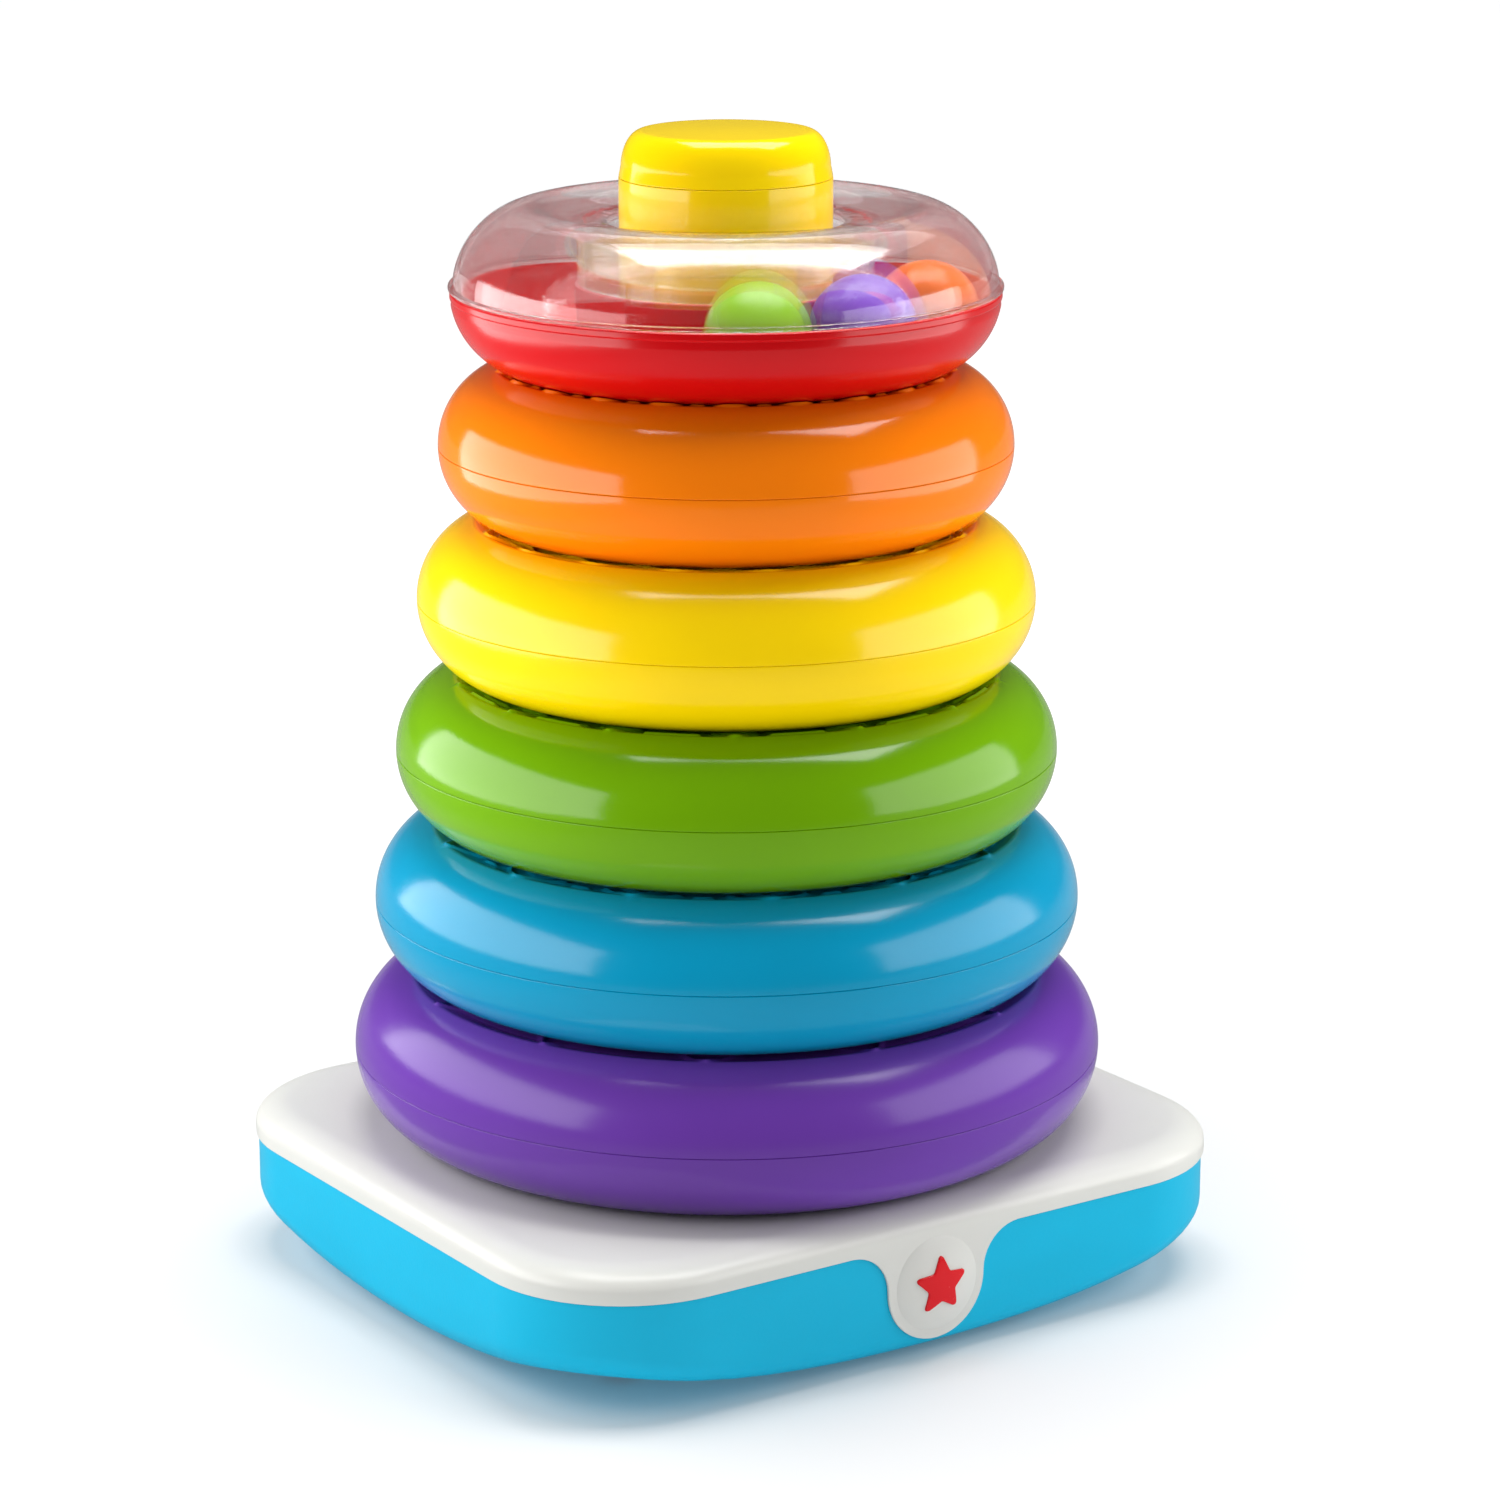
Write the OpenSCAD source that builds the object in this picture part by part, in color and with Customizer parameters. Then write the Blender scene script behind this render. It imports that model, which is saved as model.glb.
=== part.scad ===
// Rocking stack toy: a bowed base with a round post, five hollow rings and a rattle ring with a clear dome.
// Origin: centre of the base's flat rest face. +Z runs up the post, and the badge faces -Y.

/* [Base] */
// Width of the base along X
base_w = 270; // [264:1:280]
// Depth of the base along Y
base_d = 238; // [232:1:248]
// Radius of the base's upright corners
base_corner_r = 49; // [42:1:56]
// Height of the line where the top shell meets the bottom shell
split_z = 40; // [38:0.5:41]
// Height of the flat top of the base, which the largest ring rests on
plateau_z = 50; // [49:0.5:51]
// Radius of the flat disc that the base stands on at rest
rest_r = 40; // [25:1:50]
// How far the bowed bottom has risen at the base's corners
bow_rise = 18; // [10:1:20]
// Wall thickness of the base shells
base_wall = 3; // [2.5:0.25:3.5]

/* [Badge] */
// Radius of the round end of the tab that carries the badge
tab_r = 18.7; // [17:0.1:20]
// Height of the badge's centre
badge_z = 25.5; // [24:0.5:27]
// How far the round boss stands out of the tab
boss_rise = 3; // [2:0.25:3.5]
// Radius of the star's points
star_r = 10.5; // [8:0.5:12]

/* [Post] */
// Radius of the post
post_r = 34.3; // [33.5:0.1:35]
// Height of the line between the post and its cap
cap_split_z = 363.3; // [361:0.1:364]
// Height of the top of the cap
cap_top_z = 378.5; // [377:0.5:380]
// Wall thickness of the post
post_wall = 2.6; // [2:0.1:3]

/* [Rings] */
// Outer radius of the largest ring
ring_r = 124; // [120:1:128]
// How much smaller each ring's radius is than the one below
ring_step = 7.7; // [7.2:0.1:8]
// Height of the largest ring's parting line
first_seam_z = 76; // [75.9:0.1:77]
// Distance between the parting lines of neighbouring rings
pitch = 50.3; // [50.2:0.1:51]
// Radius of the round outer wall of a ring, seen in section
bulge_r = 26.4; // [26.3:0.1:26.6]
// Radius of the hole through each ring
hole_r = 38; // [37:0.5:39]
// Wall thickness of the ring shells
ring_wall = 2.4; // [2:0.1:2.8]

/* [Rattle ring] */
// Outer radius of the clear dome's flange
dome_r = 89.2; // [88.8:0.1:89.6]
// Wall thickness of the clear dome
dome_wall = 2.4; // [2:0.1:2.6]
// Radius of each ball
ball_r = 16.7; // [16:0.1:17]

/* [Hidden] */
$fn = 96;
fit_gap = 0.3;
small = 0.01;

// Base: what follows from the driving sizes
blue_inset = 0.9;
bow_r = 160;
bow_power = 3.5;
bow_steps = 14;
band_w = 12;
wall_top_z = split_z + 3.5;
band_steps = 6;
screw_x = 92;
screw_y = 76;
boss_meet_z = 21;
boss_outer_r = 6;
screw_head_r = 3.8;
screw_shank_r = 2;
screw_pilot_r = 1.8;
screw_head_z = 17;
screw_tip_z = 33;
spigot_r = post_r - post_wall - 0.2;
spigot_top_z = 68;
flange_r = 46;
flange_t = 3;
flange_z = plateau_z - base_wall - fit_gap - flange_t;
cap_draft = 0.7;
cap_edge_w = 7;
cap_edge_h = 12;
cap_steps = 10;
screw_places = [for (sx = [-1, 1]) for (sy = [-1, 1]) [sx * screw_x, sy * screw_y]];

// Badge
tab_t = blue_inset - 0.1;
tab_fillet = 12;
boss_r = tab_r - 2.9;
boss_ball_r = (boss_r * boss_r + boss_rise * boss_rise) / (2 * boss_rise);
boss_ball_y = -base_d / 2 - boss_rise + boss_ball_r;
star_t = 0.6;

// Rings: heights are measured from each ring's own parting line
ring_drop = pitch - 24.6;
crest_h = 25.4;
seat_h = pitch - ring_drop - fit_gap;
seat_r = 47;
seat_step = 0.8;
dish_lip = bulge_r - sqrt(bulge_r * bulge_r - crest_h * crest_h);
dish_foot = dish_lip + 5.8;
edge_r = 3;
tongue_h = 3;
tongue_t = 1.2;

// Rattle ring: heights are measured from its rim
rim_z = first_seam_z + 5 * pitch;
bowl_r = dome_r - 0.5;
bowl_wall = 2.6;
hub_r = 48.5;
hub_wall = 2.5;
hub_h = 2;
dome_side_r = dome_r - 1.6;
flange_h = 1.8;
dome_side_h = 2;
dome_crest_r = 64;
dome_crest_h = 27.2;
dome_power = 1.11;
ledge_r = 47.6;
ledge_h = 22;
dome_steps = 12;
ball_track_r = 67;
ball_drop = 4.4;
ball_pitch = 30.6;
first_ball_angle = -25.5;

// ---- shared shapes ----

function ring_radius(i) = ring_r - i * ring_step;
function seam_z(i) = first_seam_z + i * pitch;

// Height of the bowed bottom at a distance r from the axis
function bow_z(r) = bow_rise * pow(max(r - rest_r, 0) / (bow_r - rest_r), bow_power);

module rounded_rect(w, d, r) {
    square([w - 2 * r, d], center = true);
    square([w, d - 2 * r], center = true);
    for (sx = [-1, 1])
        for (sy = [-1, 1])
            translate([sx * (w / 2 - r), sy * (d / 2 - r)])
                circle(r);
}

// An upright block with the base's outline, moved inwards by inset
module base_block(inset, z0, z1) {
    translate([0, 0, z0])
        linear_extrude(z1 - z0)
            rounded_rect(base_w - 2 * inset, base_d - 2 * inset, base_corner_r - inset);
}

// Everything above the bowed bottom, moved up by lift
module above_bow(lift) {
    rotate_extrude()
        polygon(concat(
            [[0, lift]],
            [for (i = [0:bow_steps]) let (r = rest_r + i * (bow_r + 8 - rest_r) / bow_steps) [r, bow_z(r) + lift]],
            [[bow_r + 8, split_z + 5], [0, split_z + 5]]
        ));
}

// Points up the edge of the top shell, as [distance in from the outline, height]
function crown_edge(inset, low) = concat(
    [[inset, low]],
    [for (i = [0:band_steps])
        let (a = 90 * i / band_steps)
            [inset + band_w * (1 - cos(a)), wall_top_z + (plateau_z - inset - wall_top_z) * sin(a)]]
);

// A bar with the top shell's edge along both of its long sides
module crown_bar(half_width, length, inset, low) {
    edge = crown_edge(inset, low);
    rotate([90, 0, 0])
        linear_extrude(length, center = true)
            polygon(concat(
                [for (p = edge) [half_width - p[0], p[1]]],
                [for (i = [len(edge) - 1:-1:0]) [edge[i][0] - half_width, edge[i][1]]]
            ));
}

// The whole of the top shell's outside: upright wall, rounded band and flat top
module base_crown(inset, low) {
    crown_bar(base_w / 2, base_d - 2 * base_corner_r, inset, low);
    rotate([0, 0, 90])
        crown_bar(base_d / 2, base_w - 2 * base_corner_r, inset, low);
    for (sx = [-1, 1])
        for (sy = [-1, 1])
            translate([sx * (base_w / 2 - base_corner_r), sy * (base_d / 2 - base_corner_r), 0])
                rotate_extrude()
                    polygon(concat(
                        [[0, low]],
                        [for (p = crown_edge(inset, low)) [base_corner_r - p[0], p[1]]],
                        [[0, plateau_z - inset]]
                    ));
}

// Half of a ring's section, with its wall moved inwards by inset
module ring_section(r_out, inset) {
    mid = r_out - bulge_r;
    low = -ring_drop + inset;
    high = seat_h - inset;
    near = hole_r + inset;
    e = edge_r - inset;
    difference() {
        union() {
            intersection() {
                translate([mid, 0])
                    circle(bulge_r - inset);
                translate([mid - small, low])
                    square([bulge_r + small, crest_h - inset - low]);
            }
            translate([near + e, low])
                square([mid - near - e, high - low]);
            translate([near, low + e])
                square([e, high - low - 2 * e]);
            for (z = [low + e, high - e])
                translate([near + e, z])
                    circle(e, $fn = 48);
        }
        polygon([
            [seat_r, crest_h + 1],
            [seat_r, high],
            [seat_r + 1, high - seat_step],
            [r_out - dish_foot, high - seat_step],
            [r_out - dish_lip, crest_h - inset],
            [r_out - dish_lip, crest_h + 1]
        ]);
    }
}

module ring_wall_section(r_out) {
    difference() {
        ring_section(r_out, 0);
        ring_section(r_out, ring_wall);
    }
}

module ring_upper(i, shade) {
    color(shade)
        translate([0, 0, seam_z(i)])
            rotate_extrude()
                intersection() {
                    ring_wall_section(ring_radius(i));
                    square([ring_radius(i), crest_h]);
                }
}

// The lower shell carries a thin tongue that locates the upper shell
module ring_lower(i, shade) {
    color(shade)
        translate([0, 0, seam_z(i)])
            rotate_extrude() {
                intersection() {
                    ring_wall_section(ring_radius(i));
                    translate([0, -ring_drop])
                        square([ring_radius(i), ring_drop]);
                }
                translate([ring_radius(i) - ring_wall - tongue_t - 0.3, -tongue_h])
                    square([tongue_t, 2 * tongue_h]);
                translate([ring_radius(i) - ring_wall - tongue_t - 0.3, -tongue_h])
                    square([tongue_t + 1, tongue_h]);
            }
}

module ball(i, shade) {
    a = first_ball_angle + i * ball_pitch;
    color(shade)
        translate([ball_track_r * sin(a), -ball_track_r * cos(a), rim_z - ball_drop])
            sphere(ball_r);
}

// ---- base ----

module base_bottom() {
    color("deepskyblue")
        difference() {
            union() {
                difference() {
                    intersection() {
                        base_block(blue_inset, 0, split_z);
                        above_bow(0);
                    }
                    intersection() {
                        base_block(blue_inset + base_wall, 0, split_z + 1);
                        above_bow(base_wall);
                    }
                }
                translate([0, 0, base_wall - small])
                    cylinder(h = flange_z - fit_gap - base_wall, r = flange_r - 2);
                cylinder(h = spigot_top_z, r = spigot_r);
                for (p = screw_places)
                    translate([p[0], p[1], bow_z(norm(p)) + 1])
                        cylinder(h = boss_meet_z - bow_z(norm(p)) - 1, r = boss_outer_r);
            }
            translate([0, 0, base_wall])
                cylinder(h = spigot_top_z, r = spigot_r - base_wall);
            // the pedestal under the post is a thin-walled cup
            translate([0, 0, base_wall])
                difference() {
                    cylinder(h = flange_z - 3 * base_wall, r = flange_r - 2 - base_wall);
                    translate([0, 0, -1])
                        cylinder(h = flange_z, r = spigot_r);
                }
            for (p = screw_places)
                translate([p[0], p[1], -1]) {
                    cylinder(h = screw_head_z + 1, r = screw_head_r + 0.6);
                    cylinder(h = boss_meet_z + 2, r = screw_shank_r + 0.3);
                }
        }
}

// Outline of the tab in the XZ plane: a round end that flares into the top shell
module tab_outline() {
    translate([0, badge_z])
        circle(tab_r);
    translate([-tab_r, badge_z])
        square([2 * tab_r, wall_top_z - badge_z]);
    for (s = [-1, 1])
        difference() {
            translate([s * (tab_r + tab_fillet / 2), split_z - tab_fillet / 2])
                square([tab_fillet + 1, tab_fillet + 1], center = true);
            translate([s * (tab_r + tab_fillet + 0.5), split_z - tab_fillet - 0.5])
                circle(tab_fillet);
        }
}

module base_top() {
    color("whitesmoke") {
        difference() {
            base_crown(0, split_z);
            base_crown(base_wall, split_z - 1);
            translate([0, 0, split_z])
                cylinder(h = 20, r = post_r + 0.2);
        }
        translate([0, -base_d / 2 + tab_t, 0])
            rotate([90, 0, 0])
                linear_extrude(tab_t)
                    tab_outline();
        intersection() {
            translate([0, -base_d / 2 + tab_t / 2, badge_z])
                rotate([90, 0, 0])
                    cylinder(h = boss_rise + 2, r = boss_r - 0.4);
            translate([0, boss_ball_y, badge_z])
                sphere(boss_ball_r);
        }
        for (p = screw_places)
            translate([p[0], p[1], boss_meet_z])
                difference() {
                    cylinder(h = plateau_z - base_wall / 2 - boss_meet_z, r = boss_outer_r - 1);
                    translate([0, 0, -1])
                        cylinder(h = screw_tip_z + 4 - boss_meet_z, r = screw_pilot_r);
                }
    }
}

// A thin raised star that follows the boss
module badge_star() {
    inner = star_r * 0.48;
    color("crimson")
        intersection() {
            translate([0, -base_d / 2 + tab_t / 2, badge_z])
                rotate([90, 0, 0])
                    linear_extrude(boss_rise + 3)
                        polygon([
                            for (i = [0:9])
                                let (a = 90 + 36 * i, r = i % 2 == 0 ? star_r : inner)
                                    [r * cos(a), r * sin(a)]
                        ]);
            translate([0, boss_ball_y, badge_z])
                difference() {
                    sphere(boss_ball_r + star_t);
                    sphere(boss_ball_r);
                }
        }
}

module base_screws() {
    color("silver")
        for (p = screw_places)
            translate([p[0], p[1], 0])
                difference() {
                    union() {
                        translate([0, 0, screw_head_z - 2.6])
                            cylinder(h = 2.6, r = screw_head_r);
                        translate([0, 0, screw_head_z - small])
                            cylinder(h = screw_tip_z - screw_head_z - 3, r = screw_shank_r);
                        translate([0, 0, screw_tip_z - 3 - small])
                            cylinder(h = 3, r1 = screw_shank_r, r2 = 0.5);
                    }
                    for (a = [0, 90])
                        translate([0, 0, screw_head_z - 2.6])
                            rotate([0, 0, a])
                                cube([4.4, 0.9, 2.6], center = true);
                }
}

// ---- post ----

module post_tube() {
    color("gold")
        rotate_extrude() {
            translate([post_r - post_wall, flange_z])
                square([post_wall, cap_split_z - flange_z]);
            translate([post_r - post_wall, flange_z])
                square([flange_r - post_r + post_wall, flange_t]);
        }
}

// Point on the cap's rounded top edge at angle a, with the wall moved inwards by inset
function cap_point(a, inset) = [
    post_r - cap_draft - cap_edge_w + (cap_edge_w - inset) * cos(a),
    cap_top_z - cap_edge_h + (cap_edge_h - inset) * sin(a)
];

module cap_outline(inset) {
    polygon(concat(
        [[0, cap_split_z], [post_r - inset, cap_split_z]],
        [for (i = [0:cap_steps]) cap_point(90 * i / cap_steps, inset)],
        [[0, cap_top_z - inset]]
    ));
}

module post_cap() {
    skirt_r = post_r - post_wall - 0.05;
    color("gold")
        rotate_extrude()
            union() {
                difference() {
                    intersection() {
                        cap_outline(0);
                        translate([0, cap_split_z])
                            square([post_r, cap_top_z - cap_split_z]);
                    }
                    intersection() {
                        cap_outline(2.4);
                        translate([0, cap_split_z - small])
                            square([post_r, cap_top_z - cap_split_z]);
                    }
                }
                translate([skirt_r - 2, cap_split_z - 12])
                    square([2, 14]);
                translate([skirt_r - 2, cap_split_z])
                    square([post_r - skirt_r + 1, 2]);
            }
}

// ---- rings, from the largest up ----

module ring_purple_lower() { ring_lower(0, "rebeccapurple"); }
module ring_purple_upper() { ring_upper(0, "rebeccapurple"); }
module ring_blue_lower() { ring_lower(1, "deepskyblue"); }
module ring_blue_upper() { ring_upper(1, "deepskyblue"); }
module ring_green_lower() { ring_lower(2, "yellowgreen"); }
module ring_green_upper() { ring_upper(2, "yellowgreen"); }
module ring_yellow_lower() { ring_lower(3, "gold"); }
module ring_yellow_upper() { ring_upper(3, "gold"); }
module ring_orange_lower() { ring_lower(4, "darkorange"); }
module ring_orange_upper() { ring_upper(4, "darkorange"); }

// ---- rattle ring ----

module rattle_bowl() {
    mid = bowl_r - bulge_r;
    color("crimson")
        translate([0, 0, rim_z])
            rotate_extrude() {
                difference() {
                    intersection() {
                        translate([mid, 0])
                            circle(bulge_r);
                        translate([hub_r - 1, -ring_drop])
                            square([bowl_r, ring_drop]);
                    }
                    intersection() {
                        translate([mid, 0])
                            circle(bulge_r - bowl_wall);
                        translate([hub_r, -ring_drop + bowl_wall])
                            square([bowl_r, ring_drop]);
                    }
                }
                translate([hole_r, -ring_drop])
                    square([hub_r - hole_r, bowl_wall]);
                translate([hub_r - hub_wall, -ring_drop])
                    square([hub_wall, ring_drop + hub_h]);
            }
}

// Point on the dome's curved top at angle a, with the wall moved inwards by inset
function dome_point(a, inset) = [
    dome_crest_r + (dome_side_r - dome_crest_r - inset) * pow(cos(a), dome_power),
    dome_side_h + (dome_crest_h - dome_side_h - inset) * pow(sin(a), dome_power)
];

module rattle_dome() {
    steps = [for (i = [0:dome_steps]) 90 * i / dome_steps];
    back = [for (i = [0:dome_steps]) 90 - 90 * i / dome_steps];
    tube_in = ledge_r - dome_wall;
    color("lightcyan", 0.35)
        translate([0, 0, rim_z])
            rotate_extrude()
                polygon(concat(
                    [[dome_r, small], [dome_r, flange_h], [dome_side_r, flange_h]],
                    [for (a = steps) dome_point(a, 0)],
                    [[ledge_r, ledge_h], [hole_r, ledge_h], [hole_r, ledge_h - dome_wall]],
                    [[tube_in, ledge_h - dome_wall], [tube_in, hub_h + small], [ledge_r, hub_h + small]],
                    [[ledge_r, ledge_h - dome_wall]],
                    [for (a = back) dome_point(a, dome_wall)],
                    [[dome_side_r - dome_wall, small]]
                ));
}

module ball_green() { ball(0, "yellowgreen"); }
module ball_purple() { ball(1, "mediumpurple"); }
module ball_orange() { ball(2, "darkorange"); }

base_bottom();
base_top();
badge_star();
base_screws();
post_tube();
post_cap();
ring_purple_lower();
ring_purple_upper();
ring_blue_lower();
ring_blue_upper();
ring_green_lower();
ring_green_upper();
ring_yellow_lower();
ring_yellow_upper();
ring_orange_lower();
ring_orange_upper();
rattle_bowl();
rattle_dome();
ball_green();
ball_purple();
ball_orange();
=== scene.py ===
import math

import bmesh
import bpy
import numpy as np
from mathutils import Euler, Matrix, Vector


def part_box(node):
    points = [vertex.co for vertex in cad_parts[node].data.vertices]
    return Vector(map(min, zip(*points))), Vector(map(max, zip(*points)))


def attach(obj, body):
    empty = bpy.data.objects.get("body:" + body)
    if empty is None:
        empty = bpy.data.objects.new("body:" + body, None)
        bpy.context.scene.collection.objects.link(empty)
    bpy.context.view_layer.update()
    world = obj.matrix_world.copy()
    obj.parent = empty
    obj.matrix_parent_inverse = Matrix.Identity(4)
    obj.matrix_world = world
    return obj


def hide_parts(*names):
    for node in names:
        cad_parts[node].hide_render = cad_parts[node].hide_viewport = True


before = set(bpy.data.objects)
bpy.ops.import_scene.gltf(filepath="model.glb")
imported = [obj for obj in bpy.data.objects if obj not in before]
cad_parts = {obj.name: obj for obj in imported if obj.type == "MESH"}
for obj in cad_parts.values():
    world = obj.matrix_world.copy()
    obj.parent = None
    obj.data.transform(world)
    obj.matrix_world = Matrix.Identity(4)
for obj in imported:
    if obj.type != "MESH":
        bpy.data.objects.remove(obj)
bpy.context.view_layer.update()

MM = 0.001
RINGS = ("purple", "blue", "green", "yellow", "orange")
# Steps round the Z axis of a plain revolved shell, and of one with embossed lines
TURNS = 192
RELIEF_TURNS = 720
# Edges sharper than this many degrees stay sharp
SMOOTH_ANGLE = 35.0


# ---------------------------------------------------------------- camera

FRAME_PX = 1500
FOCAL_PX = 4554.0
SENSOR_MM = 36.0
CAMERA_AZIMUTH = math.radians(-34.2)
CAMERA_PITCH = math.radians(14.893)
CAMERA_DISTANCE = 1.450
CAMERA_SIDE = 0.0077
CAMERA_HEIGHT = 0.5596


def make_camera():
    data = bpy.data.cameras.new("camera")
    data.sensor_width = SENSOR_MM
    data.lens = SENSOR_MM * FOCAL_PX / FRAME_PX
    data.clip_start = 0.05
    data.clip_end = 50.0
    camera = bpy.data.objects.new("camera", data)
    bpy.context.scene.collection.objects.link(camera)
    cos_a, sin_a = math.cos(CAMERA_AZIMUTH), math.sin(CAMERA_AZIMUTH)
    side, back = CAMERA_SIDE, -CAMERA_DISTANCE
    camera.location = (side * cos_a - back * sin_a, side * sin_a + back * cos_a, CAMERA_HEIGHT)
    camera.rotation_euler = (math.pi / 2 - CAMERA_PITCH, 0.0, CAMERA_AZIMUTH)
    bpy.context.scene.camera = camera
    return camera


# ---------------------------------------------------------------- outlines


def arc(cx, cy, radius, start, end, steps):
    """Points along an arc, in degrees from start to end."""
    turn = [math.radians(start + (end - start) * i / steps) for i in range(steps + 1)]
    return [(cx + radius * math.cos(a), cy + radius * math.sin(a)) for a in turn]


def rounded(points, steps=4):
    """A closed outline whose corners given as (x, y, radius) are rounded off."""
    out = []
    count = len(points)
    for i, point in enumerate(points):
        here = Vector(point[:2])
        radius = point[2] if len(point) > 2 else 0.0
        if radius <= 0:
            out.append(tuple(here))
            continue
        back = Vector(points[i - 1][:2]) - here
        ahead = Vector(points[(i + 1) % count][:2]) - here
        half = back.angle(ahead) / 2
        reach = min(radius / math.tan(half), 0.49 * back.length, 0.49 * ahead.length)
        radius = reach * math.tan(half)
        centre = here + (back.normalized() + ahead.normalized()).normalized() * (radius / math.sin(half))
        first = here + back.normalized() * reach - centre
        last = here + ahead.normalized() * reach - centre
        sweep = first.angle_signed(last)
        for k in range(steps + 1):
            a = -sweep * k / steps
            turned = Vector((
                first.x * math.cos(a) - first.y * math.sin(a),
                first.x * math.sin(a) + first.y * math.cos(a),
            ))
            out.append(tuple(centre + turned))
    return out


def split_line(start, end, step):
    """Points between start and end, both left out, at most step apart."""
    start, end = Vector(start), Vector(end)
    count = max(1, math.ceil((end - start).length / step))
    return [tuple(start.lerp(end, i / count)) for i in range(1, count)]


# ---------------------------------------------------------------- meshes


def soften(mesh_data, merge, smooth_angle, turn_outward=False):
    """Joins points closer than merge, in metres, and marks the sharp edges."""
    bm = bmesh.new()
    bm.from_mesh(mesh_data)
    bmesh.ops.remove_doubles(bm, verts=bm.verts, dist=merge)
    if turn_outward:
        bmesh.ops.recalc_face_normals(bm, faces=bm.faces)
    for edge in bm.edges:
        if len(edge.link_faces) == 2:
            edge.smooth = edge.calc_face_angle(0.0) < math.radians(smooth_angle)
    for face in bm.faces:
        face.smooth = True
    bm.to_mesh(mesh_data)
    bm.free()


def link_piece(name, mesh_data):
    piece = bpy.data.objects.new(name, mesh_data)
    bpy.context.scene.collection.objects.link(piece)
    return piece


def weight_normals(piece):
    weighted = piece.modifiers.new("weighted_normals", "WEIGHTED_NORMAL")
    weighted.keep_sharp = True
    weighted.weight = 50


def finish_mesh(name, mesh_data, smooth_angle=SMOOTH_ANGLE):
    soften(mesh_data, 1e-6, smooth_angle, True)
    piece = link_piece(name, mesh_data)
    weight_normals(piece)
    return piece


def grid_mesh(name, rows, close_rows=True, close_columns=True):
    """A mesh from an array of points, rows x columns x 3, in metres."""
    count_rows, count_columns = rows.shape[:2]
    index = np.arange(count_rows * count_columns).reshape(count_rows, count_columns)
    if close_rows:
        index = np.vstack([index, index[:1]])
    if close_columns:
        index = np.hstack([index, index[:, :1]])
    faces = np.stack(
        [index[:-1, :-1], index[1:, :-1], index[1:, 1:], index[:-1, 1:]], axis=-1
    ).reshape(-1, 4)
    mesh = bpy.data.meshes.new(name)
    mesh.from_pydata(rows.reshape(-1, 3).tolist(), [], faces.tolist())
    return mesh


def revolve(name, outline, base_z, turns=TURNS, closed=True, relief=None):
    """Sweeps an outline in mm, measured from base_z, round the Z axis."""
    profile = np.array(outline, float)
    angle = np.arange(turns) * 2 * math.pi / turns
    radius = np.broadcast_to(profile[:, 0], (turns, len(profile)))
    height = np.broadcast_to(profile[:, 1], (turns, len(profile))).copy()
    if relief is not None:
        height += relief(radius, np.broadcast_to(angle[:, None], radius.shape), height)
    rows = np.stack(
        [radius * np.cos(angle)[:, None], radius * np.sin(angle)[:, None], height + base_z], axis=-1
    )
    return finish_mesh(name, grid_mesh(name, rows * MM, True, closed))


# ---------------------------------------------------------------- embossed patterns


def distance_to_path(x, y, path):
    best = np.full(x.shape, 1e9)
    for (ax, ay), (bx, by) in zip(path[:-1], path[1:]):
        dx, dy = bx - ax, by - ay
        t = np.clip(((x - ax) * dx + (y - ay) * dy) / (dx * dx + dy * dy), 0, 1)
        best = np.minimum(best, np.hypot(x - ax - t * dx, y - ay - t * dy))
    return best


def triangle(x, y, size, out=1):
    """A closed triangle whose point faces outwards when out is 1."""
    half, tall = size * 0.62, size
    corners = [(x - half, y - out * tall / 2), (x, y + out * tall / 2), (x + half, y - out * tall / 2)]
    return corners + corners[:1]


def dash(x, y, length, lean=0.0):
    return [(x - length / 2, y - lean), (x + length / 2, y + lean)]


def chevron(x, y, width, tall):
    return [(x - width / 2, y - tall / 2), (x, y + tall / 2), (x + width / 2, y - tall / 2)]


def wave(width, y, tall, phase=0.0):
    return [
        (width * (k / 16 - 0.5), y + tall * math.sin(2 * math.pi * k / 16 + phase)) for k in range(17)
    ]


def swirl(x, y, size):
    """A spiral of one and a half turns."""
    return [
        (x + size * (1 - k / 26) * math.cos(k * 0.36), y + size * (1 - k / 26) * math.sin(k * 0.36))
        for k in range(26)
    ]


def paths_purple(width, low, high):
    mid = (low + high) / 2
    return [swirl(-width / 4, mid, 8.5), triangle(width / 4, high - 8, 12), dash(width / 4, low + 8, 14)]


def paths_blue(width, low, high):
    return [chevron(0, high - 6 - 8 * k, width * 0.62, 9) for k in range(4)] + [
        dash(width / 2, high - 8, 4), dash(-width / 2, high - 8, 4)
    ]


def paths_green(width, low, high):
    return [
        triangle(-width / 4, high - 6, 9),
        triangle(-width / 4, low + 10, 12, -1),
        dash(width / 4, high - 3.5, 13),
        dash(width / 4, high - 8, 13),
        chevron(width / 4, low + 12, 15, 8),
    ]


def paths_yellow(width, low, high):
    return [wave(width, high - 5, 2.2), wave(width, high - 9.5, 2.2), wave(width, low + 8, 2.6, math.pi)]


def paths_orange(width, low, high):
    scallop = [(x, high - 7 + y) for x, y in arc(0, 0, 5, 15, 165, 8)]
    return [scallop, dash(width / 2, high - 4, 3), dash(-width / 2, high - 4, 3), dash(0, low + 5, 9)]


PATTERNS = {
    "purple": (paths_purple, 12),
    "blue": (paths_blue, 14),
    "green": (paths_green, 14),
    "yellow": (paths_yellow, 18),
    "orange": (paths_orange, 22),
}
RIDGE_HEIGHT = 0.85
RIDGE_HALF = 1.3


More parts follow.
